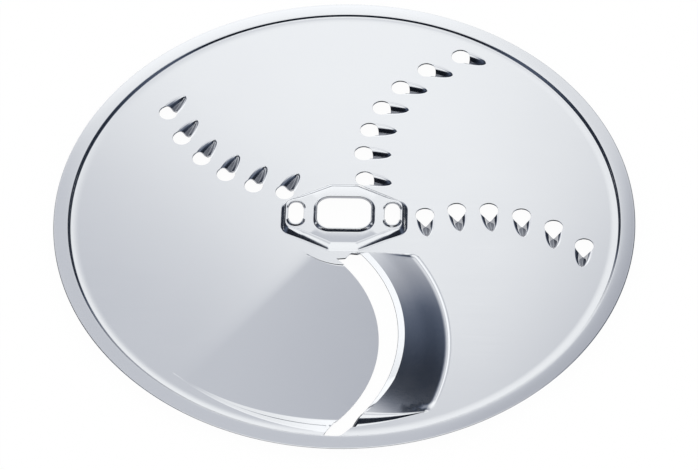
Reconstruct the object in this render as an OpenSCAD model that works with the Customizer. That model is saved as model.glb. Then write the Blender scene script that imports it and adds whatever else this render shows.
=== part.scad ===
// Grating and slicing disc of a food processor, pressed from one sheet of stainless steel.
// The rim, the hub boss and the slicing ramp stand up from the flat plate. The scoops of the
// teeth and the landing before the slot are pressed down from it. The disc lies on its scoops.

/* [Plate] */
// Diameter over the rim
disc_d = 180; // [178:1:200]
// Thickness of the sheet
sheet_t = 0.6; // [0.5:0.05:0.8]

/* [Rim] */
// Height of the rim above the plate
rim_h = 0.85; // [0.6:0.05:1.2]
// Width of the band on top of the rim
rim_band_w = 3.7; // [3:0.1:4.5]
// Width of the slope from the band down to the plate
rim_slope_w = 2.2; // [1.6:0.1:2.8]
// Fall of the band towards its outer edge
rim_fall = 0.18; // [0.02:0.02:0.3]

/* [Hub boss] */
// Height of the boss above the plate
boss_h = 1.7; // [1.2:0.1:2.2]
// Length of the boss at its foot
boss_l = 38.9; // [38.3:0.1:41]
// Width of the boss at its foot
boss_w = 27; // [25.5:0.1:27.2]
// Length of the straight edge at the middle of each long side
boss_mid_flat = 7.8; // [6:0.1:10]
// Length of the straight edge at each end
boss_end_flat = 6.7; // [5.5:0.1:8]
// Radius of the corners at the middle, at the foot
boss_mid_r = 2.2; // [2:0.1:3]
// Radius of the corners at the ends, at the foot
boss_end_r = 4; // [3:0.1:5]
// Width of the slope around the boss
boss_slope_w = 1.4; // [1:0.1:1.6]

/* [Drive opening] */
// Length of the opening
drive_l = 16.6; // [15:0.1:18]
// Width of the opening
drive_w = 12.6; // [11:0.1:14]
// Radius of the opening's corners
drive_r = 4; // [3:0.1:5]
// Height of the collar above the boss
drive_collar_h = 1.1; // [0.8:0.05:1.5]
// Radius at the foot of every collar
collar_foot_r = 0.35; // [0.2:0.05:0.4]

/* [Latch openings] */
// Distance between the two openings, centre to centre
latch_pitch = 29.8; // [29:0.1:30.2]
// Length of an opening, across the boss
latch_l = 9.2; // [8.5:0.1:9.8]
// Width of the round ends, inside their collars
latch_end_w = 4.1; // [3.6:0.1:4.3]
// Width of the middle, where the edge has no collar
latch_mid_w = 4.8; // [4.4:0.1:5]
// Length of the middle
latch_mid_l = 4; // [3:0.1:4.4]
// Height of the collars at the two ends
latch_collar_h = 0.75; // [0.5:0.05:1]

/* [Teeth] */
// Pitch of the teeth along the disc's radius
tooth_pitch = 9.95; // [9.6:0.05:11]
// Radius of the round hole of a tooth
tooth_hole_r = 2.95; // [2.7:0.05:3.1]
// Distance from the hole's centre to the full width of the scoop
scoop_start = 1.4; // [1.2:0.1:1.8]
// Length of the scoop from its full width to its tip
scoop_l = 6.9; // [6.4:0.1:7.5]
// Inside radius of the scoop at its full width
scoop_r = 2.55; // [2.4:0.05:2.55]
// Radius of the arc that the teeth of an arm lie on
arm_arc_r = 47.6; // [46.5:0.1:48.5]
// Least distance from the centre of a tooth's hole to the edge of the disc
tooth_margin = 10; // [9.5:0.5:14]

/* [Left arm] */
// Direction of the centre of the arm's arc
left_dir = 101.35; // [99:0.05:104]
// Distance of the arc's centre from the disc's centre
left_dist = 58.3; // [57.5:0.1:59]
// Distance of the first tooth from the disc's centre
left_first_r = 21.3; // [21.1:0.1:22.5]
// Turn of the teeth from the direction of travel
left_turn = 1; // [-4:0.5:4]

/* [Far arm] */
// Direction of the centre of the arm's arc
far_dir = 24.35; // [22:0.05:27]
// Distance of the arc's centre from the disc's centre
far_dist = 58.1; // [57.5:0.1:59]
// Distance of the first tooth from the disc's centre
far_first_r = 17.2; // [17.1:0.1:19]
// Turn of the teeth from the direction of travel
far_turn = 7; // [4:0.5:10]

/* [Right arm] */
// Direction of the centre of the arm's arc
right_dir = -47.2; // [-50:0.05:-44]
// Distance of the arc's centre from the disc's centre
right_dist = 59.4; // [58.5:0.1:60]
// Distance of the first tooth from the disc's centre
right_first_r = 25; // [24.8:0.1:27]
// Turn of the teeth from the direction of travel
right_turn = 2; // [-2:0.5:5]

/* [Slot] */
// Direction of the centre of the slot's arc
slot_dir = -123.3; // [-125:0.1:-121]
// Distance of the arc's centre from the disc's centre
slot_dist = 57.3; // [56.5:0.1:58]
// Radius of the cutting edge
edge_r = 49.1; // [48.5:0.1:49.7]
// Width of the slot before the cutting edge
slot_w = 6; // [5.4:0.1:6.6]
// Distance from the disc's centre to the inner end of the slot
slot_start_r = 16.6; // [16:0.1:17.5]
// Distance from the outer end of the slot to the edge of the disc
slot_margin = 4.9; // [4.5:0.1:7]
// Narrowing of the slot at its outer end
slot_nip = 3; // [0.4:0.2:3.4]

/* [Slicing ramp] */
// Height of the ramp at the cutting edge
ramp_h = 2; // [1.4:0.1:2.6]
// Direction of the centre of the crease where the ramp starts
crease_dir = -120.1; // [-121:0.1:-119]
// Distance of that centre from the disc's centre
crease_dist = 57.6; // [57:0.1:58.2]
// Radius of the crease
crease_r = 61; // [60:0.1:62]
// Width of the ground bevel
bevel_w = 1.9; // [1.2:0.1:2.6]
// Distance from the hub's middle line to the inner end of the ramp
ramp_start_y = 14; // [13.8:0.1:15]
// Run of the slope at the outer end of the ramp, for each millimetre of height
ramp_run = 1.5; // [0.8:0.1:2]

/* [Landing] */
// Direction of the line from which the landing falls
landing_dir = -127; // [-132:0.5:-122]
// Angle at which the landing falls towards the slot
landing_fall = 2.5; // [1.5:0.1:2.8]
// Distance from the disc's centre to the inner end of the landing
landing_start_r = 18.4; // [17.8:0.1:20]
// Run of the slopes at both ends of the landing, for each millimetre of depth
landing_run = 0.9; // [0.5:0.1:1.4]
// Distance from the pressed panels to the edge of the disc
press_margin = 10.6; // [9:0.1:13]

/* [Hidden] */
$fn = 96;
disc_r = disc_d / 2;
rim_foot_r = disc_r - rim_band_w - rim_slope_w;
press_r = disc_r - press_margin;
// Straight sides along the round nose of a scoop
nose_sides = 3;
// Reach of cuts past a face
over = 6;
// Overlap of runs that are joined end to end
joint = 0.02;
// Rise of a scoop's underside tip past its inside tip
tip_l = 1.5 * sheet_t;
slot_centre = slot_dist * [cos(slot_dir), sin(slot_dir)];
crease_centre = crease_dist * [cos(crease_dir), sin(crease_dir)];
// Rise of the ramp for each millimetre from its crease, reaching ramp_h at the cutting edge
ramp_w = crease_r + norm(crease_centre - slot_centre) / 2 - edge_r;
ramp_rise = ramp_h / ramp_w;
// Depth of a scoop's underside at the lip that the round hole leaves, and so the plate's height
plate_z = (scoop_r + sheet_t) * first_side((tooth_hole_r - scoop_start) / (scoop_l + tip_l));
arms = [
    [left_dir, left_dist, left_first_r, left_turn],
    [far_dir, far_dist, far_first_r, far_turn],
    [right_dir, right_dist, right_first_r, right_turn]
];

// Half width of a scoop's nose on its first side, at the share u of its length, full being 1
function first_side(u) = 1 - u * tan(45 / nose_sides);

// Smooth step from 0 to 1 as u goes from 0 to 1
function ease(u) = (1 - cos(180 * u)) / 2;

// Angle at the disc's centre from the centre of an arc to the arc's point at radius r
function arc_angle(r, dist, arc_r) = acos((r * r + dist * dist - arc_r * arc_r) / (2 * r * dist));

// Point at radius r from the disc's centre on the arc of radius arc_r about the slot's centre
function slot_point(r, arc_r) =
    let (a = slot_dir + arc_angle(r, slot_dist, arc_r)) r * [cos(a), sin(a)];

// Horizontal gap between two slopes of the given run that are a sheet's thickness apart
function slope_gap(run) = sheet_t * sqrt(1 + run * run);

// Section of a collar: x leads away from the opening and y up from the face it stands on
function collar_section(h) =
    let (steps = 6, half = sheet_t / 2) concat(
        [[-half, -sheet_t], [sheet_t + collar_foot_r, -sheet_t]],
        [for (i = [0:steps]) let (a = 270 - 90 * i / steps)
            [sheet_t + collar_foot_r, collar_foot_r] + collar_foot_r * [cos(a), sin(a)]],
        [for (i = [0:steps]) let (a = 180 * i / steps) [half, h - half] + half * [cos(a), sin(a)]],
        [[-half, h - half]]
    );

// The plate and its rim, one turned section with a rounded edge
module plate() {
    steps = 4;
    round_r = disc_r - sheet_t / 2;
    top = concat(
        [for (i = [0:steps]) [rim_foot_r + rim_slope_w * i / steps, rim_h * ease(i / steps)]],
        [[(disc_r - rim_band_w + round_r) / 2, rim_h - rim_fall / 4], [round_r, rim_h - rim_fall]]
    );
    under = [for (i = [len(top) - 1:-1:0]) top[i] - [0, sheet_t]];
    rotate_extrude($fn = 192) {
        polygon(concat([[0, 0]], top, under, [[0, -sheet_t]]));
        translate([round_r, rim_h - rim_fall - sheet_t / 2]) circle(sheet_t / 2, $fn = 24);
    }
}

// A solid of the boss's form with its foot at z, drawn in all round by inset, on a straight base
module boss_form(z, inset, base) {
    end = [boss_l / 2 - boss_end_r, boss_end_flat / 2, boss_end_r - inset];
    mid = [boss_mid_flat / 2, boss_w / 2 - boss_mid_r, boss_mid_r - inset];
    hull()
        for (corner = [end, mid], sx = [-1, 1], sy = [-1, 1])
            translate([sx * corner[0], sy * corner[1], z]) {
                cylinder(h = boss_h, r1 = corner[2], r2 = corner[2] - boss_slope_w, $fn = 32);
                translate([0, 0, -base]) cylinder(h = base, r = corner[2], $fn = 32);
            }
}

// The drive opening's collar, four straight runs and four corners
module drive_collar() {
    section = collar_section(drive_collar_h);
    corner = [drive_l / 2 - drive_r, drive_w / 2 - drive_r];
    for (half_turn = [0, 180]) rotate([0, 0, half_turn]) {
        translate([drive_l / 2, 0, 0]) rotate([90, 0, 0])
            linear_extrude(2 * corner[1] + joint, center = true) polygon(section);
        translate([0, drive_w / 2, 0]) rotate([90, 0, 90])
            linear_extrude(2 * corner[0] + joint, center = true) polygon(section);
        for (side = [0, 1]) translate([(1 - 2 * side) * corner[0], corner[1], 0])
            rotate([0, 0, 90 * side]) rotate_extrude(angle = 90)
                translate([drive_r, 0]) polygon(section);
    }
}

// A latch opening's two collars, half round at its ends
module latch_collars() {
    end_r = latch_end_w / 2;
    for (half_turn = [0, 180]) rotate([0, 0, half_turn])
        translate([0, latch_l / 2 - end_r, 0]) rotate_extrude(angle = 180)
            translate([end_r, 0]) polygon(collar_section(latch_collar_h));
}

// Outline of a rectangle with round corners, made of exact arcs
module round_outline(l, w, r) {
    square([l - 2 * r, w], center = true);
    square([l, w - 2 * r], center = true);
    for (sx = [-1, 1], sy = [-1, 1]) translate([sx * (l / 2 - r), sy * (w / 2 - r)]) circle(r);
}

// Outline of a latch opening
module latch_outline() {
    round_outline(latch_end_w, latch_l, latch_end_w / 2 - joint);
    square([latch_mid_w, latch_mid_l], center = true);
}

// Cut of the drive opening and the two latch openings through the boss
module hub_openings() {
    translate([0, 0, -over]) linear_extrude(2 * over) {
        round_outline(drive_l, drive_w, drive_r);
        for (side = [-1, 1]) translate([side * latch_pitch / 2, 0]) latch_outline();
    }
}

// A round nose along X, of radius r up to scoop_start and with its tip l further on
module nose(r, l, lead) {
    sides = [for (i = [0:nose_sides]) let (a = 90 * i / nose_sides) [r * cos(a), l * sin(a)]];
    translate([scoop_start, 0, 0]) rotate([0, 90, 0])
        rotate_extrude($fn = 64) polygon(concat([[0, -lead], [r, -lead]], sides));
}

// Lower half of a scoop's outside, from the middle of the sheet down
module scoop_shell() {
    intersection() {
        nose(scoop_r + sheet_t, scoop_l + tip_l, sheet_t / 2);
        translate([0, -over, -2 * over - sheet_t / 2]) cube([4 * over, 2 * over, 2 * over]);
    }
}

// Inside of a scoop
module scoop_hollow() {
    nose(scoop_r, scoop_l, sheet_t);
}

// Places its children at every tooth, with X along the tooth from its hole to its tip
module at_teeth() {
    for (arm = arms) {
        last = floor((disc_r - tooth_margin - arm[2]) / tooth_pitch);
        for (i = [0:last]) {
            r = arm[2] + tooth_pitch * i;
            place = arm[0] + arc_angle(r, arm[1], arm_arc_r);
            rotate([0, 0, place]) translate([r, 0, 0]) rotate([0, 0, arm[3] - 90]) children();
        }
    }
}

// Space on the slot's side of the line through the disc's centre in the given direction
module beyond_line(dir, turn, z) {
    rotate([0, 0, dir]) rotate([-turn, 0, 0]) translate([0, 0, z])
        cube([2 * disc_r, 2 * disc_r, 2 * over]);
}

// A ring whose two walls slope in as they go down, grown by grow, from the height top
module landing_ring(grow, top) {
    r0 = landing_start_r - grow;
    r1 = press_r + grow;
    rotate_extrude($fn = 192)
        polygon([[r0, top], [r0, 0], [r0 + landing_run * over, -over],
            [r1 - landing_run * over, -over], [r1, 0], [r1, top]]);
}

// The landing's form, its floor at depth z below the falling line and its walls grown by grow
module landing_form(z, grow, top) {
    intersection() {
        landing_ring(grow, top);
        beyond_line(landing_dir, landing_fall, z);
        translate([slot_centre[0], slot_centre[1], -over])
            cylinder(h = 2 * over, r = edge_r - (slot_w - slot_nip) / 2);
    }
}

// The ramp's form: a cone about the crease's centre, ended by slopes, lowered by z and drawn in
module ramp_form(z, bottom, inset) {
    high = ramp_rise * crease_r;
    outer_r = press_r - inset;
    intersection() {
        translate([crease_centre[0], crease_centre[1], z]) rotate_extrude($fn = 192)
            polygon([[0, bottom - z], [crease_r, bottom - z], [crease_r, 0], [0, high]]);
        rotate_extrude($fn = 192)
            polygon([[0, bottom], [outer_r - ramp_run * bottom, bottom],
                [outer_r - ramp_run * over, over], [0, over]]);
        translate([0, 0, -over]) linear_extrude(2 * over) difference() {
            translate([-disc_r, -ramp_start_y - inset - 2 * disc_r]) square(2 * disc_r);
            translate(slot_centre) circle(edge_r - slot_w / 2);
        }
        beyond_line(slot_dir, 0, -over);
    }
}

// Outline of the sickle-shaped slot, nipped in at its outer end
module slot_outline() {
    inner_r = edge_r - slot_w;
    end_r = disc_r - slot_margin;
    difference() {
        intersection() {
            difference() {
                translate(slot_centre) circle(edge_r, $fn = 192);
                translate(slot_centre) circle(inner_r, $fn = 192);
            }
            difference() {
                circle(end_r, $fn = 192);
                circle(slot_start_r, $fn = 192);
            }
            rotate(slot_dir) square(2 * disc_r);
        }
        polygon([slot_point(press_r - 1, inner_r), slot_point(end_r, inner_r + slot_nip),
            slot_point(disc_r, inner_r + slot_nip), slot_point(disc_r, inner_r - slot_w),
            slot_point(press_r - 1, inner_r - slot_w)]);
    }
}

// Wedge that is ground off the top of the ramp to leave the cutting edge
module bevel_cut() {
    run = 3 * bevel_w;
    land = sheet_t / 5;
    low = ramp_h - sheet_t + land;
    high = ramp_h - ramp_rise * bevel_w;
    rise = (high - low) / bevel_w;
    intersection() {
        translate(slot_centre) rotate_extrude($fn = 192)
            polygon([[edge_r - run, low - rise * run], [edge_r + bevel_w, high],
                [edge_r + bevel_w, over], [edge_r - run, over]]);
        translate([-disc_r, -disc_r - ramp_start_y, 0]) cube([2 * disc_r, disc_r, over]);
    }
}

// Everything that is pressed out of the plate's level, with its full thickness
module pressed_forms() {
    boss_form(0, 0, sheet_t / 2);
    translate([0, 0, boss_h]) {
        drive_collar();
        for (side = [-1, 1]) translate([side * latch_pitch / 2, 0, 0]) latch_collars();
    }
    ramp_form(0, -sheet_t, 0);
    landing_form(-sheet_t, slope_gap(landing_run), 0);
    at_teeth() scoop_shell();
}

// The hollow sides of what is pressed
module pressed_hollows() {
    boss_form(-sheet_t, sheet_t / 2, sheet_t);
    ramp_form(-sheet_t, -over, slope_gap(ramp_run));
    landing_form(0, 0, over);
    at_teeth() scoop_hollow();
}

// Everything that is pierced or ground
module openings() {
    hub_openings();
    bevel_cut();
    at_teeth() translate([0, 0, -over]) cylinder(h = 2 * over, r = tooth_hole_r);
    translate([0, 0, -over]) linear_extrude(2 * over) slot_outline();
}

// The whole disc, one sheet
module disc() {
    color("gainsboro") translate([0, 0, plate_z]) difference() {
        union() {
            plate();
            pressed_forms();
        }
        pressed_hollows();
        openings();
    }
}

disc();
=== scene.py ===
"""Looks of a food processor disc, one sheet of stainless steel that is pierced, pressed and ground."""
import math

import bpy
import numpy as np
from mathutils import Matrix, Vector
from mathutils.geometry import delaunay_2d_cdt


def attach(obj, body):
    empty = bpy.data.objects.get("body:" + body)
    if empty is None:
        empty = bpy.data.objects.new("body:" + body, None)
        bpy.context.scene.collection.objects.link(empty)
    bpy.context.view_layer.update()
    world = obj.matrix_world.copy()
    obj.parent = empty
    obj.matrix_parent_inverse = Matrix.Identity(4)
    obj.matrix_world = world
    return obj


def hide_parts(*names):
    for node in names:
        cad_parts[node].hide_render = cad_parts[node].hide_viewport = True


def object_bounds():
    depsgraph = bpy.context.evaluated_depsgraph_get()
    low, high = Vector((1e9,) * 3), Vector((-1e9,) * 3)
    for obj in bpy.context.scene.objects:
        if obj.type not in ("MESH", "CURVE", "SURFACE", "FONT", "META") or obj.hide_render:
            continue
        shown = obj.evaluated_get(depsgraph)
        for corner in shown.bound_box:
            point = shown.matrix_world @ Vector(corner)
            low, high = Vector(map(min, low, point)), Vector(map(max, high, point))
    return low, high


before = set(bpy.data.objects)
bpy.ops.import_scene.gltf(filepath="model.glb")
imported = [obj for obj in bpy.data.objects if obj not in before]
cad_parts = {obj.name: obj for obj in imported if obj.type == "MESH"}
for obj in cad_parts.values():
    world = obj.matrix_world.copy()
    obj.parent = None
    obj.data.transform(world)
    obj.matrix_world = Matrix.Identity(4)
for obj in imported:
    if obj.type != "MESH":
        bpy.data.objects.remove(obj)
cad_low, cad_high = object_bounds()

# Sizes are in millimetres until the mesh is made
MM = 0.001

# Plate and rim
DISC_R = (cad_high.x - cad_low.x) / 2 / MM
SHEET_T = 0.6
RIM_H = 0.85
RIM_FALL = 0.11
RIM_FOOT_R = DISC_R - 5.4
RIM_SLOPE_W = 0.95
RIM_SWELL = 0.06
RIM_SWELL_W = 2.4
RIM_ROLL_POWER = 1.8
RIM_POINTS = 400
# Distances of the rim's rows of points from the disc's edge, closest together on the slope
RIM_ROW_INSETS = [7.9, 7.3, 6.8, 6.3, 5.8, 5.4, 5.3, 5.2, 5.1, 5.0, 4.9, 4.8, 4.7, 4.6, 4.45, 4.3,
                  3.9, 3.4, 2.8, 2.2, 1.5, 0.8]

# Hub boss
BOSS_H = 1.7
BOSS_L = 38.9
BOSS_W = 27.0
BOSS_MID_FLAT = 7.8
BOSS_END_FLAT = 6.7
BOSS_MID_R = 2.2
BOSS_END_R = 4.0
BOSS_BEND_W = 2.3
BOSS_END_BEND_W = 1.5
BOSS_BEND_X = 12.0
BOSS_BEND_SPREAD = 6.0
BOSS_BEND_POWER = 1.5
BOSS_CROWN = 0.05
BOSS_CROWN_Y = 7.5
BOSS_FOOT_BLEND = 0.25
BOSS_RAYS = 260
# Distances of the boss's rows of points outwards from its foot
BOSS_ROWS = [0.28, 0.12, 0.0, -0.12, -0.25, -0.45, -0.65, -0.85, -1.1, -1.35, -1.6, -1.85, -2.1,
             -2.4, -2.7]

# Openings of the hub and their collars
DRIVE_L = 16.6
DRIVE_W = 12.6
DRIVE_R = 4.0
DRIVE_COLLAR_H = 1.1
LATCH_PITCH = 29.8
LATCH_L = 8.9
LATCH_END_W = 4.1
LATCH_MID_W = 4.8
LATCH_MID_L = 4.0
LATCH_COLLAR_H = 0.75
COLLAR_FOOT_R = 0.35
COLLAR_LEAN = 0.3
LATCH_FOOT_R = 0.2
LATCH_LEAN = 0.1
LATCH_TURN_L = 0.5
COLLAR_MARGIN = 0.05
PLAIN_EDGE_BREAK = 0.06

# Height of the plate's top above the floor, from the model's top, which is the drive collar
PLATE_Z = cad_high.z / MM - BOSS_H - DRIVE_COLLAR_H

# Teeth
TOOTH_PITCH = 9.95
HOLE_R = 2.95
SCOOP_START = 1.4
SCOOP_L = 7.2
SCOOP_W = 2.75
SCOOP_DEPTH = 2.3
SCOOP_BEND = 0.6
SCOOP_TIP_POWER = 0.1
SCOOP_FADE_L = 0.9
HOLE_POINTS = 64
# Places of the scoop's rows of points, as shares of the way from the hole's lip to the scoop's wall
SCOOP_ROWS = [0.1, 0.2, 0.31, 0.43, 0.55, 0.66, 0.75, 0.82, 0.87, 0.91, 0.94, 0.97, 1.0, 1.03]
ARM_ARC_R = 47.6
TOOTH_MARGIN = 10.0
ARMS = [
    {"direction": 101.35, "distance": 58.3, "first_r": 21.3, "turn": 1.0},
    {"direction": 24.35, "distance": 58.1, "first_r": 17.2, "turn": 7.0},
    {"direction": -47.2, "distance": 59.4, "first_r": 25.0, "turn": 2.0},
]

# Slot
SLOT_DIR = -123.3
SLOT_DIST = 57.3
EDGE_R = 49.1
SLOT_W = 6.0
SLOT_START_R = 16.6
SLOT_END_R = DISC_R - 4.9
SLOT_NIP = 3.0
# Small steps of the slot's outline at its hub end, as x and y
SLOT_HUB_END = [(4.6, -14.4), (2.7, -14.2), (1.9, -14.8), (0.9, -16.2)]
# Radius at which the pressed panels beside the slot end
PRESS_R = DISC_R - 10.6

# Slicing ramp
RAMP_H = 2.0
CREASE_DIR = -120.1
CREASE_DIST = 57.6
CREASE_R = 61.0
BEVEL_W = 1.9
BEVEL_FADE_L = 14
BEVEL_FADE_POWER = 0.7
BEVEL_CUT = SHEET_T * 0.95
RAMP_START_Y = -14.0
# How far each end slopes for each millimetre of height
RAMP_RUN = 1.75
RAMP_END_RUN = 0.9
RAMP_END_OUT = 0.2
RAMP_END_POWER = 0.7
RAMP_HEEL_W = 0.8
CREASE_SOFT = 0.35
# Shallow dip along the crease
VALLEY_DEPTH = 0.16
VALLEY_W = 1.7
VALLEY_FADE_L = 9
VALLEY_START_L = 2
VALLEY_END_L = 3
CREASE_ROWS = [-1.75, -1.5, -1.2, -0.9, -0.65, -0.35, -0.15, 0, 0.15, 0.35, 0.7, 1.6, 3.6, 5.6, 7.8, 10.2]
BEVEL_ROWS = [0.4, 0.7, 1.0, 1.03]
OUTER_END_ROWS = [-0.5, -0.38, -0.27, -0.18, -0.09, 0, 0.09, 0.18, 0.27, 0.38, 0.5]
INNER_END_ROWS = [-0.1, 0, 0.1, 0.2, 0.32, 0.45, 0.6, 0.75, 0.9, 1.05, 1.2, 1.4, 1.6, 1.8]
HEEL_ROWS = [0.0, 0.1, 0.25, 0.45, 0.7, 0.95]

# Landing
LANDING_DIR = -127.0
LANDING_FALL = 2.5
LANDING_START_R = 18.4
LANDING_FOLD_BLEND = 0.12
LANDING_RUN = 3.1
LANDING_BEND = 0.12
LANDING_INNER_RUN = 1.6
LANDING_STEP = 0.03
LANDING_STEP_W = 0.6
LANDING_SPREAD = 2.0
FOLD_ROWS = [-5.5, -3, -1.5, 0, 1.5, 3, 6, 12, 20, 30]
LANDING_END_ROWS = [0, 0.06, 0.12, 0.25, 0.7, 0.88, 0.94, 1.0]
LANDING_STEP_ROWS = [-0.3, -0.2, -0.1, 0, 0.1, 0.2, 0.3]

# Steel
CLEAN_STEEL = (0.90, 0.905, 0.92)
# Painted shade: darker steel colour that is mixed in inside the scoops and the hub's openings
SHADED_STEEL = (0.40, 0.41, 0.44)
POLISH = 0.075
GRAIN_ROUGHNESS = 0.04
CLOUD_ROUGHNESS = 0.03
# Depths below the plate, in mm, over which the painted shade in the scoops fades in
SUNK_SHADE_DEPTHS = (0.2, 0.9)

# Studio. Each range says where a light fades, in degrees to the right or in degrees of height
BACKDROP_LEVEL = 0.98
BACKDROP_LEFT = (-46, -24)
BACKDROP_RIGHT = (8, 36)
BACKDROP_FOOT = (3, 12)
RIGHT_HALF = (0, 5)
RIGHT_HALF_DIM = 0.18
# Upper part of the backdrop, dimmer above a line that slants down to both sides
SLANT = 0.6
SLANT_EDGE = (50.8, 54.6)
SLANT_DIM = 0.36
# Strip at the backdrop's left and its lower part, both brighter
STRIP_EDGE = (-20, -16)
LOWER_EDGE = (40, 47)
STRIP_GAIN = 0.13
# Grey and dark cards at the backdrop's right, which the slicing ramp mirrors
GREY_CARD_SIDE = (7, 14)
GREY_CARD_HEAD = (42, 48)
GREY_CARD_DIM = 0.4
DARK_CARD_SIDE = (9, 19)
DARK_CARD_FOOT = (30, 58)
DARK_CARD_HEAD = (57, 61)
DARK_CARD_DIM = 0.97
# Lights overhead and beyond the camera
TOP_EDGE = (56, 62)
TOP_LEFT = (-70, -40)
TOP_RIGHT = (35, 60)
TOP_LEVEL = 0.95
OVERHEAD_EDGE = (55, 65)
OVERHEAD_LEVEL = 0.75
FRONT_SIDE = (98, 122)
FRONT_RIGHT = (84, 104)
FRONT_RIGHT_LEVEL = 0.75
FRONT_FOOT = (42, 47)
# The dim room, darkest under the camera
ROOM_LEVEL = 0.035
ROOM_RIGHT = (25, 60)
ROOM_RIGHT_FOOT = (30, 50)
ROOM_RIGHT_LEVEL = 0.2
ROOM_FRONT = (80, 110)
ROOM_FRONT_LEVEL = 0.1
UNDER_SIDE = (110, 130)
UNDER_HEAD = (41, 46)
UNDER_DIM = 0.85
# Colours of the light from dark to bright, and the levels between which they change
DARK_TINT = (0.45, 0.62, 1.0)
GREY_TINT = (0.86, 0.90, 1.0)
BRIGHT_TINT = (0.965, 0.985, 1.0)
GREY_FROM = (0.0, 0.45)
BRIGHT_FROM = (0.45, 0.95)
FLOOR_GLOW = 0.95


def polar(radius, degrees):
    """Points at a radius and an angle about the origin."""
    a = np.radians(degrees)
    return np.stack([radius * np.cos(a), radius * np.sin(a)], axis=-1)


def arc_angle(radius, distance, arc_r):
    """Angle from an arc's centre to its point at radius, both seen from the disc's centre."""
    cosine = (radius * radius + distance * distance - arc_r * arc_r) / (2 * radius * distance)
    return np.degrees(np.arccos(np.clip(cosine, -1, 1)))


def on_arc(direction, distance, arc_r, radius):
    """Point at radius from the disc's centre on an arc about a centre at direction and distance."""
    return polar(radius, direction + arc_angle(radius, distance, arc_r))


SLOT_CENTRE = polar(SLOT_DIST, SLOT_DIR)
CREASE_CENTRE = polar(CREASE_DIST, CREASE_DIR)
RAMP_W = CREASE_R + np.linalg.norm(CREASE_CENTRE - SLOT_CENTRE) / 2 - EDGE_R
RAMP_RISE = RAMP_H / RAMP_W
SLOT_MID_R = EDGE_R - SLOT_W / 2
RAMP_HEEL_R = SLOT_MID_R + 1.1


def smooth_max(a, b, blend):
    """The larger of two heights, with a parabola where they are closer than blend."""
    near = np.maximum(blend - np.abs(a - b), 0)
    return np.maximum(a, b) + near * near / (4 * blend)


def tooth_places():
    """Centre and heading of every tooth."""
    places = []
    for arm in ARMS:
        last = int((DISC_R - TOOTH_MARGIN - arm["first_r"]) / TOOTH_PITCH)
        for i in range(last + 1):
            r = arm["first_r"] + TOOTH_PITCH * i
            at = arm["direction"] + arc_angle(r, arm["distance"], ARM_ARC_R)
            places.append((polar(r, at), at + arm["turn"] - 90))
    return places


TEETH = tooth_places()


def eased(share):
    """Goes from 0 to 1 with no sudden bend at either end."""
    t = np.clip(share, 0, 1)
    return t * t * t * (10 - 15 * t + 6 * t * t)


def bent(share, corner):
    """Grows along a straight line after a round bend that is corner long."""
    t = np.maximum(share, 0)
    return np.where(t < corner, t * t / (2 * corner), t - corner / 2)


def sloped(share, corner):
    """Goes from 0 to 1 along a straight slope with a round bend at both ends."""
    t = np.clip(share, 0, 1)
    return (bent(t, corner) - bent(t - 1 + corner, corner)) / (1 - corner)


def rim_height(r):
    """Rise of the sheet at the rim: a slight swell, a slope, then a band that rolls off outwards."""
    swell = np.clip((r - RIM_FOOT_R + RIM_SWELL_W) / RIM_SWELL_W, 0, 1)
    rise = np.clip((r - RIM_FOOT_R) / RIM_SLOPE_W, 0, 1)
    crest = RIM_FOOT_R + RIM_SLOPE_W
    roll = np.clip((r - crest) / (DISC_R - SHEET_T / 2 - crest), 0, 1)
    slope = (RIM_H - RIM_SWELL) * (1 - np.cos(np.pi * rise)) / 2
    return RIM_SWELL * swell * swell + slope - RIM_FALL * roll ** RIM_ROLL_POWER


def boss_distance(x, y):
    """Signed distance to the boss's foot outline, negative inside: a hull of eight circles."""
    px, py = np.abs(x), np.abs(y)
    end = np.array([BOSS_L / 2 - BOSS_END_R, BOSS_END_FLAT / 2])
    mid = np.array([BOSS_MID_FLAT / 2, BOSS_W / 2 - BOSS_MID_R])
    span = mid - end
    length = np.linalg.norm(span)
    tilt = math.asin((BOSS_END_R - BOSS_MID_R) / length)
    normal_at = math.atan2(-span[0], span[1]) + tilt
    across = np.array([math.cos(normal_at), math.sin(normal_at)])
    end_at = np.arctan2(py - end[1], px - end[0])
    mid_at = np.arctan2(py - mid[1], px - mid[0])
    far = -1e9
    sides = [
        px - end[0] - BOSS_END_R,
        (px - end[0]) * across[0] + (py - end[1]) * across[1] - BOSS_END_R,
        py - mid[1] - BOSS_MID_R,
        np.where((end_at > 0) & (end_at < normal_at),
                 np.hypot(px - end[0], py - end[1]) - BOSS_END_R, far),
        np.where((mid_at > normal_at) & (mid_at < math.pi / 2),
                 np.hypot(px - mid[0], py - mid[1]) - BOSS_MID_R, far),
    ]
    return np.maximum.reduce(sides)


def boss_height(x, y):
    """Height of the boss with a small fillet at its foot and a long soft bend at its top edge."""
    deep = -boss_distance(x, y)
    to_end = eased((np.abs(x) - BOSS_BEND_X) / BOSS_BEND_SPREAD)
    width = BOSS_BEND_W + (BOSS_END_BEND_W - BOSS_BEND_W) * to_end
    share = np.clip(deep / width, -1, 1)
    rise = 1 - (1 - share) ** BOSS_BEND_POWER
    crown = BOSS_CROWN * bent(np.abs(y) - BOSS_CROWN_Y, 0.5)
    rise = rise * (BOSS_H - crown)
    return np.where(deep > -0.4, smooth_max(rise, 0 * rise, BOSS_FOOT_BLEND), 0)


def in_quarter(x, y, degrees):
    """Coordinates along a direction and to its left."""
    a = math.radians(degrees)
    return x * math.cos(a) + y * math.sin(a), y * math.cos(a) - x * math.sin(a)


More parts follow.
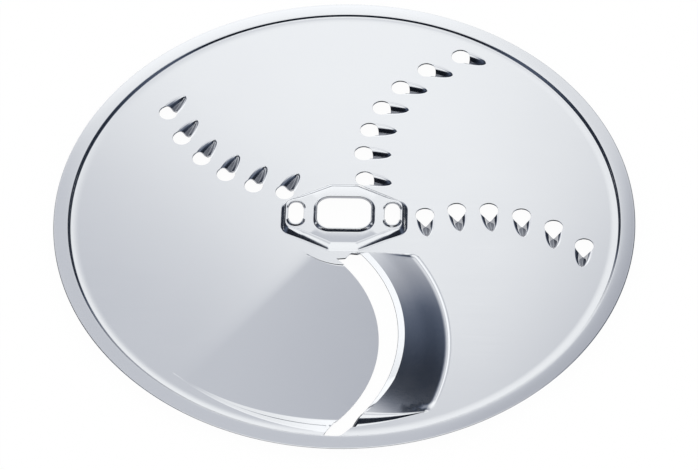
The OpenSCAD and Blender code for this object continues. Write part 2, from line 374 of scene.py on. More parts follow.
def ramp_height(x, y):
    """Height of the slicing ramp, a shallow cone from its crease with three sloped ends and a dip."""
    r = np.hypot(x, y)
    from_slot = np.hypot(x - SLOT_CENTRE[0], y - SLOT_CENTRE[1])
    from_crease = CREASE_R - np.hypot(x - CREASE_CENTRE[0], y - CREASE_CENTRE[1])
    along, left = in_quarter(x, y, SLOT_DIR)
    cone = smooth_max(RAMP_RISE * from_crease, 0 * r, 2 * RAMP_RISE * CREASE_SOFT)
    cone = np.where((along > 0) & (left > 0) & (from_slot > SLOT_MID_R - 1), cone, 0)
    run = RAMP_RUN * np.maximum(cone, 0.02)
    outer = np.clip((PRESS_R + RAMP_END_OUT + run / 2 - r) / run, 0, 1)
    outer = eased(outer ** RAMP_END_POWER)
    inner = eased((RAMP_START_Y - y) / (RAMP_END_RUN * np.maximum(cone, 1)))
    heel = eased((from_slot - RAMP_HEEL_R) / RAMP_HEEL_W)
    on_plate, on_panel = eased(from_crease / VALLEY_W + 1), 1 - eased(from_crease / VALLEY_FADE_L)
    valley = VALLEY_DEPTH * np.where(from_crease < 0, on_plate, on_panel)
    valley = valley * eased((RAMP_START_Y - y) / VALLEY_START_L) * eased((PRESS_R - r) / VALLEY_END_L)
    valley = np.where((along > 0) & (left > 0) & (from_slot > SLOT_MID_R), valley, 0)
    return cone * outer * inner * heel - valley


def landing_depth(x, y):
    """Depth of the landing, a panel that falls from a radial line towards the slot."""
    r = np.hypot(x, y)
    from_slot = np.hypot(x - SLOT_CENTRE[0], y - SLOT_CENTRE[1])
    along, left = in_quarter(x, y, LANDING_DIR)
    depth = smooth_max(left * math.tan(math.radians(LANDING_FALL)), 0 * r, LANDING_FOLD_BLEND)
    depth = np.where((along > 0) & (from_slot < SLOT_MID_R + 1.2), depth, 0)
    run = np.maximum(depth, 0.01)
    from_end = PRESS_R + LANDING_SPREAD * run - r
    middle = from_end - LANDING_RUN * run / 2
    outer = sloped(from_end / (LANDING_RUN * run), LANDING_BEND) * (1 - LANDING_STEP)
    outer = outer + eased((middle + LANDING_STEP_W / 2) / LANDING_STEP_W) * LANDING_STEP
    inner = eased((r - LANDING_START_R) / (LANDING_INNER_RUN * run))
    return depth * outer * inner


def bevel_width(r):
    """Width of the bevel, which thins out towards the rim."""
    return BEVEL_W * np.clip((PRESS_R + 0.5 - r) / BEVEL_FADE_L, 0.05, 1) ** BEVEL_FADE_POWER


def scoop_depth(u, v):
    """Depth of a scoop at u along the tooth and v across: a keel that rises towards its tip."""
    share = np.clip((u - SCOOP_START) / SCOOP_L, 0, 1)
    half = SCOOP_W * np.sqrt(np.maximum(1 - share * share, 1e-9))
    across = bent(1 - np.abs(v) / half, SCOOP_BEND) / (1 - SCOOP_BEND / 2)
    lip = (HOLE_R - SCOOP_START) / SCOOP_L
    along = np.sqrt(np.maximum(1 - share * share, 0)) * (1 - share) ** SCOOP_TIP_POWER
    at_lip = math.sqrt(1 - lip * lip) * (1 - lip) ** SCOOP_TIP_POWER
    depth = SCOOP_DEPTH * np.minimum(along / at_lip, 1) * across
    fade = np.clip((u - SCOOP_START + SCOOP_FADE_L) / SCOOP_FADE_L, 0, 1)
    return depth * fade * fade * (3 - 2 * fade) * (u < SCOOP_START + SCOOP_L)


def sheet_height(x, y):
    """Height of the sheet's top above the plate, before anything is ground off."""
    r = np.hypot(x, y)
    height = rim_height(r) + ramp_height(x, y) - landing_depth(x, y)
    height += np.where(r < BOSS_L, boss_height(x, y), 0)
    for centre, heading in TEETH:
        near = np.hypot(x - centre[0], y - centre[1]) < HOLE_R + SCOOP_L
        if near.any():
            u, v = in_quarter(x[near] - centre[0], y[near] - centre[1], heading)
            height[near] -= scoop_depth(u, v)
    return height


def ground_height(x, y):
    """Height of the ramp's edge once its bevel is ground, deepest at the slot."""
    from_edge = np.hypot(x - SLOT_CENTRE[0], y - SLOT_CENTRE[1]) - EDGE_R
    cut = BEVEL_CUT * (1 - from_edge / bevel_width(np.hypot(x, y)))
    return sheet_height(x, y) - cut


def normals_of(height, x, y):
    """Unit normals of a height function at points."""
    step = 1e-3
    gx = (height(x + step, y) - height(x - step, y)) / (2 * step)
    gy = (height(x, y + step) - height(x, y - step)) / (2 * step)
    n = np.stack([-gx, -gy, np.ones_like(gx)], axis=1)
    return n / np.linalg.norm(n, axis=1, keepdims=True)


def circle_points(centre, radius, count):
    """Points round a circle."""
    a = np.linspace(0, 360, count, endpoint=False)
    return np.asarray(centre) + polar(radius, a)


def resample(points, spacing):
    """Points along a polyline at about the given spacing."""
    points = np.asarray(points, float)
    steps = np.linalg.norm(np.diff(points, axis=0), axis=1)
    at = np.concatenate([[0], np.cumsum(steps)])
    count = max(int(round(at[-1] / spacing)), 1)
    want = np.linspace(0, at[-1], count + 1)
    return np.stack([np.interp(want, at, points[:, k]) for k in (0, 1)], axis=1)


def stretches(points, keep):
    """The stretches of a polyline where keep is true, each of two points or more."""
    found, run = [], []
    for p, k in zip(points, keep):
        if k:
            run.append(p)
        else:
            if len(run) > 1:
                found.append(np.array(run))
            run = []
    if len(run) > 1:
        found.append(np.array(run))
    return found


def slot_loop():
    """Outline of the slot, nipped in at its outer end."""
    inner_r = EDGE_R - SLOT_W
    radii = np.linspace(SLOT_START_R, PRESS_R - 1, 90)
    landing_side = [on_arc(SLOT_DIR, SLOT_DIST, inner_r, r) for r in radii]
    nip = [landing_side[-1], on_arc(SLOT_DIR, SLOT_DIST, inner_r + SLOT_NIP, SLOT_END_R)]
    edge_side = [on_arc(SLOT_DIR, SLOT_DIST, EDGE_R, r)
                 for r in np.linspace(SLOT_END_R, SLOT_START_R, 110)]
    outer = [nip[-1], edge_side[0]]
    inner = [edge_side[-1]] + SLOT_HUB_END + [landing_side[0]]
    parts = [np.array(landing_side), resample(nip, 0.7), resample(outer, 0.5),
             np.array(edge_side), resample(inner, 0.5)]
    return np.concatenate([p[:-1] for p in parts])


def rounded_rectangle(length, width, radius, corner_steps=14, side_spacing=0.8):
    """Base points and outward normals of a rounded rectangle, anticlockwise from its right side."""
    points, normals = [], []
    corner = np.array([length / 2 - radius, width / 2 - radius])
    signs = [(1, 1), (-1, 1), (-1, -1), (1, -1)]
    for k, (sx, sy) in enumerate(signs):
        centre = corner * (sx, sy)
        for a in np.linspace(90 * k, 90 * k + 90, corner_steps + 1):
            n = polar(1.0, a)
            points.append(centre + n * radius)
            normals.append(n)
        nx, ny = signs[(k + 1) % 4]
        gap = np.linalg.norm(corner * (nx, ny) - centre)
        count = int(gap / side_spacing)
        start, n = points[-1], normals[-1]
        step = (corner * (nx, ny) - centre) / (count + 1) if count else None
        for i in range(count):
            points.append(start + step * (i + 1))
            normals.append(n)
    return np.array(points), np.array(normals)


def collar_reach(foot, lean):
    """How far a collar's foot reaches out from its opening."""
    return SHEET_T + foot + lean + COLLAR_MARGIN


def collar_path(height, turned, f, lean):
    """Section of a collar from the sheet's top over its edge to the underside, as (out, up) pairs.
    turned goes from 0, a plain edge at the width of the middle, to 1, a full upright collar.
    f is the radius at its foot and lean is how far its outer face slopes."""
    t = SHEET_T
    half = t / 2
    start = collar_reach(f, lean)
    foot = [(t + f + lean + f * math.cos(a), f + f * math.sin(a))
            for a in np.radians(np.linspace(270, 195, 7))]
    lip = [(half + half * math.cos(a), height - half + half * math.sin(a))
           for a in np.radians(np.linspace(0, 180, 9))]
    back = [(t + f - (t + f) * math.cos(a), f - (t + f) * math.sin(a))
            for a in np.radians(np.linspace(0, 90, 9))]
    upright = np.array([(start, 0)] + foot + lip + back + [(start, -t)])
    plain_edge = (LATCH_MID_W - LATCH_END_W) / 2
    inset = PLAIN_EDGE_BREAK
    flat = ([(start + (plain_edge + inset - start) * i / 7, 0) for i in range(8)]
            + [(plain_edge, -inset - (t - 2 * inset) * i / 8) for i in range(9)]
            + [(plain_edge + inset + (start - plain_edge - inset) * i / 9, -t) for i in range(10)])
    return upright * turned + np.array(flat) * (1 - turned)


class Sheet:
    """Triangles of the finished sheet, gathered patch by patch with a normal for every corner."""

    def __init__(self):
        self.corners = []
        self.normals = []

    def triangles(self, points, normals, faces, flip=False):
        """Adds faces of three points each. flip turns them over, as the underside needs."""
        faces = np.asarray(faces)
        if flip:
            faces, normals = faces[:, ::-1], -normals
        self.corners.append(points[faces])
        self.normals.append(normals[faces])

    def grid(self, points, closed):
        """Adds a grid of rows of points. Its normals come from its own shape."""
        rows, count = points.shape[:2]
        if closed:
            along = np.roll(points, -1, 1) - np.roll(points, 1, 1)
        else:
            along = np.gradient(points, axis=1)
        down = np.gradient(points, axis=0)
        n = np.cross(along, down)
        n /= np.maximum(np.linalg.norm(n, axis=2, keepdims=True), 1e-12)
        columns = np.arange(count if closed else count - 1)
        i, j = np.meshgrid(np.arange(rows - 1), columns, indexing="ij")
        a = i * count + j
        b = i * count + (j + 1) % count
        c, d = a + count, b + count
        faces = np.concatenate([np.stack([a, d, c], -1).reshape(-1, 3),
                                np.stack([a, b, d], -1).reshape(-1, 3)])
        self.triangles(points.reshape(-1, 3), n.reshape(-1, 3), faces)

    def finished(self, name):
        """Makes the mesh object, with points that meet joined into one."""
        corners = np.concatenate(self.corners)
        normals = np.concatenate(self.normals)
        keys = np.round(corners.reshape(-1, 3) * 5000).astype(np.int64)
        _, first, index = np.unique(keys, axis=0, return_index=True, return_inverse=True)
        points = corners.reshape(-1, 3)[first]
        faces = index.reshape(-1, 3)
        good = ((faces[:, 0] != faces[:, 1]) & (faces[:, 1] != faces[:, 2]) & (faces[:, 2] != faces[:, 0]))
        faces, normals = faces[good], normals[good]
        mesh = bpy.data.meshes.new(name)
        mesh.vertices.add(len(points))
        mesh.vertices.foreach_set("co", (points * MM).ravel())
        mesh.loops.add(faces.size)
        mesh.loops.foreach_set("vertex_index", faces.ravel())
        mesh.polygons.add(len(faces))
        mesh.polygons.foreach_set("loop_start", np.arange(0, faces.size, 3))
        mesh.update(calc_edges=True)
        mesh.polygons.foreach_set("use_smooth", np.ones(len(faces), bool))
        mesh.normals_split_custom_set(normals.reshape(-1, 3))
        mesh.update()
        made = bpy.data.objects.new(name, mesh)
        bpy.context.scene.collection.objects.link(made)
        return made


def tooth_rows():
    """Rows of points in each scoop, from the round hole's lip to past the bent edge."""
    lines = []
    # Angles from the tooth's heading, closer together along the keel
    headings = np.concatenate([np.linspace(-64, -8, 19), np.linspace(-6, 6, 7), np.linspace(8, 64, 19)])
    reach = np.linspace(HOLE_R, HOLE_R + SCOOP_L, 1200)
    for centre, heading in TEETH:
        wall, kept = [], []
        for a in headings:
            u, v = reach * math.cos(math.radians(a)), reach * math.sin(math.radians(a))
            sunk = scoop_depth(u, v) > 1e-6
            if sunk[2] and reach[sunk].max() > HOLE_R + 0.12:
                wall.append(reach[sunk].max())
                kept.append(a)
        wall, kept = np.array(wall), np.array(kept)
        for share in SCOOP_ROWS:
            lines.append(centre + polar(HOLE_R + (wall - HOLE_R) * share, kept + heading))
    return lines


def rim_rows():
    """Rows of points round the rim."""
    return [circle_points((0, 0), DISC_R - inset, RIM_POINTS) for inset in RIM_ROW_INSETS]


def boss_rows():
    """Rows of points round the boss's wall, found along rays from its middle."""
    rows = []
    rays = np.linspace(0, 360, BOSS_RAYS, endpoint=False)
    reach = np.linspace(8, 22, 2801)
    grid = polar(reach[None, :], rays[:, None])
    distance = boss_distance(grid[..., 0], grid[..., 1])
    for d in BOSS_ROWS:
        radius = np.array([np.interp(d, distance[k], reach) for k in range(len(rays))])
        rows.append(polar(radius, rays))
    return rows


def ramp_rows():
    """Rows of points that follow the crease, the bevel and the ends of the slicing ramp."""
    rows = []

    def on_ramp(points, beyond=0.0):
        """True for the points on the ramp, or up to beyond past its outer end."""
        from_slot = np.hypot(*(points - SLOT_CENTRE).T)
        return (from_slot > EDGE_R + 0.02) & (points[:, 1] < RAMP_START_Y - 0.05) & \
            (np.hypot(*points.T) < PRESS_R + beyond)

    sweep = np.linspace(-75, 75, 230)
    for inset in CREASE_ROWS:
        points = CREASE_CENTRE + polar(CREASE_R - inset, sweep)
        rows += stretches(points, on_ramp(points))
    for share in BEVEL_ROWS:
        edge = SLOT_CENTRE + polar(EDGE_R, sweep)
        out = share * bevel_width(np.hypot(*edge.T))
        points = SLOT_CENTRE + polar(EDGE_R + out, sweep)
        rows += stretches(points, on_ramp(points, 0.8))
    insets = np.linspace(-0.5, RAMP_W + 1.5, 26)
    for share in OUTER_END_ROWS:
        points = []
        for inset in insets:
            height = max(RAMP_RISE * inset, 0.02)
            radius = PRESS_R + RAMP_END_OUT + RAMP_RUN * height * share
            points.append(on_arc(CREASE_DIR, CREASE_DIST, CREASE_R - inset, radius))
        points = np.array(points)
        rows += stretches(points, on_ramp(points, 2.4))
    for out in [-0.4, 0.2, 0.8]:
        points = polar(PRESS_R + out, np.linspace(-89, -50, 90))
        rows += stretches(points, on_ramp(points, 1.0))
    for deep in INNER_END_ROWS:
        points = np.stack([np.linspace(1.0, 34.0, 60), np.full(60, RAMP_START_Y - deep)], axis=1)
        from_slot = np.hypot(*(points - SLOT_CENTRE).T)
        rows += stretches(points, (from_slot > SLOT_MID_R - 0.2) & (np.hypot(*points.T) < 40))
    for out in HEEL_ROWS:
        points = SLOT_CENTRE + polar(RAMP_HEEL_R + out, np.linspace(40, 50, 30))
        at_hub = np.hypot(*points.T) < SLOT_START_R - 0.1
        rows += stretches(points, at_hub & (points[:, 1] < RAMP_START_Y))
    return rows


def landing_rows():
    """Rows of points that follow the landing's fold, its two end walls and the small step in one."""
    rows = []
    inner_r = EDGE_R - SLOT_W
    for left in FOLD_ROWS:
        radii = np.linspace(LANDING_START_R - 0.8, PRESS_R + 2.5, 50)
        a = math.radians(LANDING_DIR)
        points = np.stack([radii * math.cos(a) - left * math.sin(a),
                           radii * math.sin(a) + left * math.cos(a)], axis=1)
        r = np.hypot(*points.T)
        from_slot = np.hypot(*(points - SLOT_CENTRE).T)
        keep = (from_slot < inner_r - 0.3) & (r > LANDING_START_R) & (r < PRESS_R + 2.5)
        if keep.sum() > 1:
            rows.append(points[keep])
    turns = np.linspace(LANDING_DIR - 5, -84, 120)
    fall = math.tan(math.radians(LANDING_FALL))
    places = [(share, 0) for share in LANDING_END_ROWS] + [(0.5, shift) for shift in LANDING_STEP_ROWS]
    for share, shift in places:
        outer, inner = [], []
        for a in turns:
            slope = max(math.sin(math.radians(a - LANDING_DIR)), 0) * fall
            out = LANDING_SPREAD - LANDING_RUN * share
            outer.append(polar(PRESS_R / (1 - slope * out) + shift, a))
            inner.append(polar(LANDING_START_R / (1 - slope * LANDING_INNER_RUN * share), a))
        for points in (np.array(outer), np.array(inner)):
            keep = np.hypot(*(points - SLOT_CENTRE).T) < inner_r - 0.15
            rows.append(points[keep])
    for radius in [LANDING_START_R - 0.2, LANDING_START_R, PRESS_R, PRESS_R + 0.25]:
        points = polar(radius, turns)
        keep = np.hypot(*(points - SLOT_CENTRE).T) < inner_r - 0.15
        rows.append(points[keep])
    return rows


def triangulated(loops, lines):
    """Triangles over the disc whose edges follow the loops and lines."""
    points, edges = [], []
    for group, closed in ((loops, True), (lines, False)):
        for line in group:
            if len(line) < 2:
                continue
            start = len(points)
            points += [Vector((float(p[0]), float(p[1]))) for p in line]
            edges += [(start + i, start + i + 1) for i in range(len(line) - 1)]
            if closed:
                edges.append((start + len(line) - 1, start))
    verts, _, faces, _, _, _ = delaunay_2d_cdt(points, edges, [], 0, 1e-4)
    return np.array([v[:] for v in verts]), np.array([f for f in faces if len(f) == 3])


def inside(points, loop):
    """True for the points inside a closed outline."""
    x, y = points[:, 0], points[:, 1]
    hit = np.zeros(len(points), bool)
    ax, ay = loop[-1]
    for bx, by in loop:
        if ay != by:
            crosses = ((ay > y) != (by > y)) & (x < (bx - ax) * (y - ay) / (by - ay) + ax)
            hit ^= crosses
        ax, ay = bx, by
    return hit


def offset_outline(points, normals, out):
    """An outline moved outwards."""
    return points + normals * out


def latch_shape():
    """Base outline of a latch opening, how far its collar is turned up at each point, and normals."""
    points, normals = rounded_rectangle(LATCH_END_W, LATCH_L, LATCH_END_W / 2 - 1e-3, 18, 0.22)
    along = np.abs(points[:, 1])
    turned = np.clip((along - LATCH_MID_L / 2) / LATCH_TURN_L, 0, 1)
    return points, normals, turned * turned * (3 - 2 * turned)


def add_collar(sheet, centre, points, normals, height, turned, foot, lean):
    """Adds a collar round an opening of the boss, joined to the boss's top and underside."""
    paths = np.stack([collar_path(height, t, foot, lean) for t in turned], axis=1)
    out, up = paths[..., 0], paths[..., 1]
    grid = np.zeros(out.shape + (3,))
    grid[..., :2] = np.asarray(centre) + points[None] + normals[None] * out[..., None]
    grid[..., 2] = BOSS_H + up
    sheet.grid(grid, True)


def rolled_edge(sheet, top, under, outward, top_n, under_n, bulge, rows):
    """Adds the strips that close the sheet's edge between the top and the underside.
    With two rows it is a flat edge with small breaks, and with more it is round."""
    thick = np.linalg.norm(top[:, 0] - under[:, 0], axis=1)
    bulge = np.minimum(bulge, thick * 0.5)
    shares = [(0.0, 0.0, top_n)]
    if rows == 2:
        shares += [(0.1, 1.0, outward * 0.8 + top_n * 0.6), (0.9, 1.0, outward * 0.9 + top_n * 0.45)]
    else:
        turns = np.linspace(0, math.pi, rows + 2)[1:-1]
        shares += [((1 - math.cos(a)) / 2, math.sin(a), outward * math.sin(a)
                    + top_n * max(math.cos(a), 0) + under_n * max(-math.cos(a), 0)) for a in turns]
    shares.append((1.0, 0.0, under_n))
    rings = []
    for share, out, n in shares:
        p = top + (under - top) * share + outward * (bulge * out)[:, None, None]
        n = n / np.maximum(np.linalg.norm(n, axis=2, keepdims=True), 1e-9)
        rings.append((p, n))
    for (p, pn), (q, qn) in zip(rings, rings[1:]):
        points = np.concatenate([p, q], axis=1).reshape(-1, 3)
        normals = np.concatenate([pn, qn], axis=1).reshape(-1, 3)
        base = np.arange(len(p)) * 4
        faces = np.concatenate([np.stack([base + 1, base, base + 2], 1),
                                np.stack([base + 1, base + 2, base + 3], 1)])
        sheet.triangles(points, normals, faces)


def make_disc():
    """The whole sheet as one mesh."""
    sheet = Sheet()
    slot = slot_loop()
    holes = [circle_points(centre, HOLE_R, HOLE_POINTS) for centre, _ in TEETH]
    drive, drive_n = rounded_rectangle(DRIVE_L, DRIVE_W, DRIVE_R)
    latch, latch_n, latch_turned = latch_shape()
    collar_loops = [offset_outline(drive, drive_n, collar_reach(COLLAR_FOOT_R, COLLAR_LEAN))]
    latch_foot = offset_outline(latch, latch_n, collar_reach(LATCH_FOOT_R, LATCH_LEAN))
    latch_centres = [(side * LATCH_PITCH / 2, 0) for side in (-1, 1)]
    for centre in latch_centres:
        collar_loops.append(latch_foot + centre)
    edge_r = DISC_R - SHEET_T / 2
    outer = circle_points((0, 0), edge_r, RIM_POINTS)
    lines = []
    for group, closed in ((rim_rows(), True), (tooth_rows(), False), (boss_rows(), True),
                          (ramp_rows() + landing_rows(), False)):
        for row in group:
            cut = inside(row, slot) | (np.hypot(*row.T) > edge_r)
            for centre, _ in TEETH:
                cut |= np.hypot(*(row - centre).T) < HOLE_R + 0.02
            if closed:
                row, cut = np.concatenate([row, row[:1]]), np.concatenate([cut, cut[:1]])
            lines += stretches(row, ~cut)
    plan, faces = triangulated([outer, slot] + holes + collar_loops, lines)

    middle = plan[faces].mean(axis=1)
    keep = ~inside(middle, slot)
    for centre, _ in TEETH:
        keep &= np.hypot(*(middle - centre).T) > HOLE_R * math.cos(math.pi / HOLE_POINTS)
    for loop in collar_loops:
        near = np.hypot(*middle.T) < BOSS_L
        cut = np.zeros(len(middle), bool)
        cut[near] = inside(middle[near], loop)
        keep &= ~cut
    faces = faces[keep]
    a, b, c = plan[faces[:, 0]], plan[faces[:, 1]], plan[faces[:, 2]]
    area = (b[:, 0] - a[:, 0]) * (c[:, 1] - a[:, 1]) - (b[:, 1] - a[:, 1]) * (c[:, 0] - a[:, 0])
    faces[area < 0] = faces[area < 0][:, ::-1]

    x, y = plan[:, 0].copy(), plan[:, 1].copy()
    height = sheet_height(x, y)
    n = normals_of(sheet_height, x, y)
    formed = np.stack([x, y, height], axis=1)
    under = formed - SHEET_T * n
    ground = ground_height(x, y)
    ground_n = normals_of(ground_height, x, y)
    from_slot = np.hypot(x - SLOT_CENTRE[0], y - SLOT_CENTRE[1])
    on_edge = (from_slot > EDGE_R - 0.01) & (ramp_height(x, y) > 0) & (height > ground)
    top = formed.copy()
    top[on_edge, 2] = ground[on_edge]
    bevelled = (formed[faces, 2] - top[faces, 2]).max(axis=1) > 1e-4
    sheet.triangles(top, n, faces[~bevelled])
    sheet.triangles(top, ground_n, faces[bevelled])
    sheet.triangles(under, n, faces, flip=True)

    directed = np.concatenate([faces[:, [0, 1]], faces[:, [1, 2]], faces[:, [2, 0]]])
    code = directed[:, 0].astype(np.int64) * len(plan) + directed[:, 1]
    back = directed[:, 1].astype(np.int64) * len(plan) + directed[:, 0]
    open_edges = directed[~np.isin(code, back)]
    centre = plan[open_edges].mean(axis=1)
    on_collar = np.zeros(len(centre), bool)
    for loop in collar_loops:
        away = np.abs(loop[None, :, :] - centre[:, None, :])
        near = np.hypot(away[..., 0], away[..., 1]).min(axis=1) < 0.6
        on_collar |= near & (np.hypot(*centre.T) < BOSS_L / 2)
    open_edges = open_edges[~on_collar]
    along = plan[open_edges[:, 1]] - plan[open_edges[:, 0]]
    out_edge = np.stack([along[:, 1], -along[:, 0]], axis=1)
    out_edge /= np.linalg.norm(out_edge, axis=1, keepdims=True)
    out_point = np.zeros((len(plan), 3))
    for k in (0, 1):
        np.add.at(out_point, open_edges[:, k], np.c_[out_edge, np.zeros(len(out_edge))])
    out_point /= np.maximum(np.linalg.norm(out_point, axis=1, keepdims=True), 1e-9)
    outer_edge = np.hypot(*plan[open_edges].mean(axis=1).T) > edge_r - 0.05
    for chosen, bulge, rows in ((outer_edge, SHEET_T / 2, 9), (~outer_edge, 0.05, 2)):
        e = open_edges[chosen]
        rolled_edge(sheet, top[e], under[e], out_point[e], n[e], -n[e], bulge, rows)

    drive_turned = np.ones(len(drive))
    add_collar(sheet, (0, 0), drive, drive_n, DRIVE_COLLAR_H, drive_turned, COLLAR_FOOT_R, COLLAR_LEAN)
    for centre in latch_centres:
        add_collar(sheet, centre, latch, latch_n, LATCH_COLLAR_H, latch_turned, LATCH_FOOT_R,
                   LATCH_LEAN)
    for block in sheet.corners:
        block[..., 2] += PLATE_Z
    return sheet.finished("disc_sheet")


class Maths:
    """A shader socket that takes Python's operators and adds Math nodes."""

    def __init__(self, tree, socket):
        self.tree = tree
        self.socket = socket

    def node(self, kind, values=(), output=0, **settings):
        """Adds a node of a kind, sets it up and returns one of its outputs."""
        made = self.tree.nodes.new(kind)
        for name, value in settings.items():
            setattr(made, name, value)
        for key, value in (values.items() if isinstance(values, dict) else enumerate(values)):
            if isinstance(value, Maths):
                self.tree.links.new(value.socket, made.inputs[key])
            elif value is not None:
                made.inputs[key].default_value = value
        return Maths(self.tree, made.outputs[output])

    def math(self, operation, *values):
        """Adds a Math node."""
        return self.node("ShaderNodeMath", values, operation=operation)

    def __add__(self, other):
        return self.math("ADD", self, other)

    def __radd__(self, other):
        return self.math("ADD", other, self)

    def __sub__(self, other):
        return self.math("SUBTRACT", self, other)

    def __rsub__(self, other):
        return self.math("SUBTRACT", other, self)

    def __mul__(self, other):
        return self.math("MULTIPLY", self, other)

    def __rmul__(self, other):
        return self.math("MULTIPLY", other, self)

    def __truediv__(self, other):
        return self.math("DIVIDE", self, other)

    def __pow__(self, other):
        return self.math("POWER", self, other)

    def step(self, low, high):
        """Smooth step from 0 at low to 1 at high."""
        values = {"Value": self, "From Min": low, "From Max": high, "To Min": 0.0, "To Max": 1.0}
        return self.node("ShaderNodeMapRange", values, interpolation_type="SMOOTHSTEP")


def mixed(share, first, second):
    """Mixes two colours by a share."""
    made = share.tree.nodes.new("ShaderNodeMix")
    made.data_type = "RGBA"
    share.tree.links.new(share.socket, made.inputs["Factor"])
    for name, value in (("A", first), ("B", second)):
        socket = [s for s in made.inputs if s.name == name and s.type == "RGBA"][0]
        if isinstance(value, Maths):
            share.tree.links.new(value.socket, socket)
        else:
            socket.default_value = tuple(value) + (1.0,)
    output = [s for s in made.outputs if s.type == "RGBA"][0]
    return Maths(share.tree, output)


def stainless_steel():
    """Stainless steel with a fine satin polish, and painted shade that darkens its colour inside the hub's
    openings and the scoops.
    """
    material = bpy.data.materials.new("stainless_steel")
    material.use_nodes = True
    tree = material.node_tree
    shader = tree.nodes["Principled BSDF"]
    root = Maths(tree, None)
    place = root.node("ShaderNodeTexCoord", output="Object")
    split = root.node("ShaderNodeSeparateXYZ", [place]).socket.node
    x, y, z = (Maths(tree, split.outputs[k]) for k in range(3))
    grain_place = root.node("ShaderNodeCombineXYZ", [x * 60.0, y * 2600.0, z * 2600.0])
    grain = root.node("ShaderNodeTexNoise", {"Vector": grain_place, "Scale": 1.0, "Detail": 3.0})
    cloud = root.node("ShaderNodeTexNoise", {"Vector": place, "Scale": 38.0, "Detail": 2.0})
    # Painted shade: darker colour where the sheet lies below the plate, apart from the landing, and in the
    # hub's openings
    away = (x / MM - SLOT_CENTRE[0]) ** 2.0 + (y / MM - SLOT_CENTRE[1]) ** 2.0
    sunk = (PLATE_Z - z / MM).step(*SUNK_SHADE_DEPTHS) * away.step((EDGE_R - 3) ** 2, (EDGE_R - 2) ** 2)
    wide, deep = root.math("ABSOLUTE", x) / MM, root.math("ABSOLUTE", y) / MM
    out_x = root.math("MAXIMUM", wide - (DRIVE_L / 2 - DRIVE_R), 0.0)
    out_y = root.math("MAXIMUM", deep - (DRIVE_W / 2 - DRIVE_R), 0.0)
    drive = (out_x * out_x + out_y * out_y) ** 0.5 - DRIVE_R
    out_x = wide - LATCH_PITCH / 2
    out_y = root.math("MAXIMUM", deep - (LATCH_L - LATCH_END_W) / 2, 0.0)
    latch = (out_x * out_x + out_y * out_y) ** 0.5 - LATCH_END_W / 2
    cut = 1 - root.math("MINIMUM", drive, latch).step(0.02, 0.12)
    # Painted shade over the scoops and the hub's openings with their collars
    painted_shade = root.math("MAXIMUM", sunk, cut)
    colour = mixed(painted_shade, CLEAN_STEEL, SHADED_STEEL)
    tree.links.new(colour.socket, shader.inputs["Base Color"])
    shader.inputs["Metallic"].default_value = 1.0
    roughness = POLISH + grain * GRAIN_ROUGHNESS + cloud * CLOUD_ROUGHNESS
    tree.links.new(roughness.socket, shader.inputs["Roughness"])
    bump = root.node("ShaderNodeBump", {"Height": grain, "Strength": 0.05, "Distance": 0.00002},
                     output="Normal")
    tree.links.new(bump.socket, shader.inputs["Normal"])
    return material


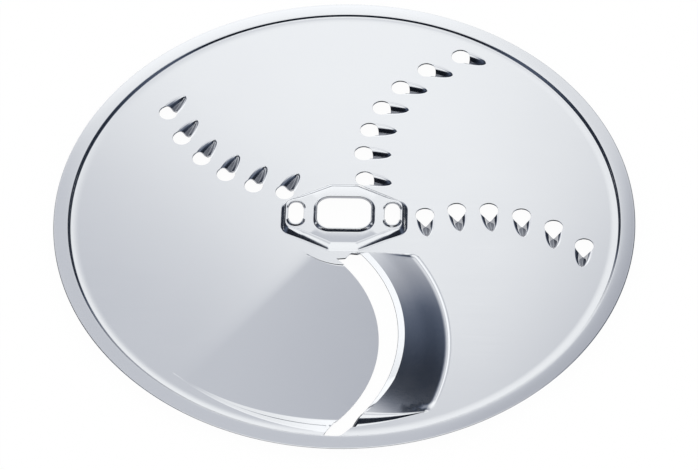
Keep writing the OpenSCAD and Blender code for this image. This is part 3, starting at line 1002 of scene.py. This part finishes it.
def studio_world():
    """Studio that the steel mirrors, set by direction. All but glossy rays see plain white."""
    world = bpy.data.worlds.new("studio")
    bpy.context.scene.world = world
    world.use_nodes = True
    tree = world.node_tree
    root = Maths(tree, None)
    toward = root.node("ShaderNodeTexCoord", output="Generated")
    split = root.node("ShaderNodeSeparateXYZ", [toward]).socket.node
    x, y, z = (Maths(tree, split.outputs[k]) for k in range(3))
    degrees = 180 / math.pi
    # side is 0 straight behind the disc and grows to the right, turned is the same to both sides
    side = root.math("ARCTAN2", x, y) * degrees
    height = root.math("ARCSINE", z) * degrees
    turned = root.math("ABSOLUTE", side)

    backdrop = side.step(*BACKDROP_LEFT) * (1 - side.step(*RIGHT_HALF) * RIGHT_HALF_DIM)
    backdrop = backdrop * (1 - side.step(*BACKDROP_RIGHT)) * BACKDROP_LEVEL
    slanted = height - root.math("MINIMUM", side, 0.0) * SLANT + root.math("MAXIMUM", side, 0.0) * SLANT
    upper = slanted.step(*SLANT_EDGE) * side.step(*STRIP_EDGE)
    backdrop = backdrop * (1 - upper * SLANT_DIM) * height.step(*BACKDROP_FOOT)
    bright = root.math("MAXIMUM", 1 - height.step(*LOWER_EDGE), 1 - side.step(*STRIP_EDGE))
    backdrop = backdrop * (1 + bright * STRIP_GAIN)
    grey_card = side.step(*GREY_CARD_SIDE) * (1 - height.step(*GREY_CARD_HEAD))
    backdrop = backdrop * (1 - grey_card * GREY_CARD_DIM)
    dark_card = side.step(*DARK_CARD_SIDE) * height.step(*DARK_CARD_FOOT)
    dark_card = dark_card * (1 - height.step(*DARK_CARD_HEAD))
    backdrop = backdrop * (1 - dark_card * DARK_CARD_DIM)

    top_light = height.step(*TOP_EDGE) * side.step(*TOP_LEFT) * (1 - side.step(*TOP_RIGHT)) * TOP_LEVEL
    top_light = root.math("MAXIMUM", top_light, height.step(*OVERHEAD_EDGE) * OVERHEAD_LEVEL)
    room = ROOM_LEVEL + side.step(*ROOM_RIGHT) * height.step(*ROOM_RIGHT_FOOT) * ROOM_RIGHT_LEVEL
    room = room + turned.step(*ROOM_FRONT) * ROOM_FRONT_LEVEL
    front_right = side.step(*FRONT_RIGHT) * FRONT_RIGHT_LEVEL
    front_light = root.math("MAXIMUM", turned.step(*FRONT_SIDE), front_right) * height.step(*FRONT_FOOT)
    under_camera = 1 - turned.step(*UNDER_SIDE) * (1 - height.step(*UNDER_HEAD)) * UNDER_DIM
    level = root.math("MAXIMUM", root.math("MAXIMUM", backdrop, top_light), room)
    level = root.math("MAXIMUM", level * under_camera, front_light)

    glossy = root.node("ShaderNodeLightPath", output="Is Glossy Ray")
    tint = mixed(level.step(*GREY_FROM), DARK_TINT, GREY_TINT)
    tint = mixed(level.step(*BRIGHT_FROM), tint, BRIGHT_TINT)
    background = tree.nodes["Background"]
    tint = mixed(glossy, (1.0, 1.0, 1.0), tint)
    tree.links.new(tint.socket, background.inputs["Color"])
    tree.links.new((level * glossy + (1 - glossy)).socket, background.inputs["Strength"])


def floor():
    """Plain white floor, which glows so that the disc's shadow stays very faint."""
    mesh = bpy.data.meshes.new("floor")
    reach = 3.0
    corners = [(-reach, -reach, 0), (reach, -reach, 0), (reach, reach, 0), (-reach, reach, 0)]
    mesh.from_pydata(corners, [], [(0, 1, 2, 3)])
    made = bpy.data.objects.new("floor", mesh)
    bpy.context.scene.collection.objects.link(made)
    material = bpy.data.materials.new("pale_floor")
    material.use_nodes = True
    tree = material.node_tree
    tree.nodes.remove(tree.nodes["Principled BSDF"])
    root = Maths(tree, None)
    matt = root.node("ShaderNodeBsdfDiffuse", {"Color": (1, 1, 1, 1)})
    glow = root.node("ShaderNodeEmission", {"Color": (1, 1, 1, 1), "Strength": 1.0})
    blend = root.node("ShaderNodeMixShader", [FLOOR_GLOW, matt, glow])
    output = [n for n in tree.nodes if n.type == "OUTPUT_MATERIAL"][0]
    tree.links.new(blend.socket, output.inputs["Surface"])
    mesh.materials.append(material)


def camera():
    """Camera at the photograph's angle and distance, with its picture centre shifted as there."""
    azimuth, elevation, roll = 2.27, 49.66, 0.985
    away = 14 * DISC_R * MM
    focal_px, image_w, image_h = 4073.7, 698, 470
    centre_px = (344.14, 216.62)
    a, e, turn = (math.radians(v) for v in (azimuth, elevation, roll))
    back = Vector((math.sin(a) * math.cos(e), -math.cos(a) * math.cos(e), math.sin(e)))
    right = Vector((math.cos(a), math.sin(a), 0))
    up = back.cross(right)
    rolled_right = right * math.cos(turn) - up * math.sin(turn)
    rolled_up = right * math.sin(turn) + up * math.cos(turn)
    edge_z = PLATE_Z + RIM_H - RIM_FALL - SHEET_T / 2
    data = bpy.data.cameras.new("camera")
    data.sensor_width = 36.0
    data.lens = focal_px / image_w * data.sensor_width
    data.shift_x = (image_w / 2 - centre_px[0]) / image_w
    data.shift_y = (centre_px[1] - image_h / 2) / image_w
    data.clip_start = 0.05
    made = bpy.data.objects.new("camera", data)
    turn_matrix = Matrix((rolled_right, rolled_up, back)).transposed().to_4x4()
    place = Vector((0, 0, edge_z * MM)) + back * away
    made.matrix_world = Matrix.Translation(place) @ turn_matrix
    bpy.context.scene.collection.objects.link(made)
    bpy.context.scene.camera = made


disc = make_disc()
disc.data.materials.append(stainless_steel())
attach(disc, "root")
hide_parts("disc")
studio_world()
floor()
camera()
bpy.context.scene.view_settings.view_transform = "Standard"
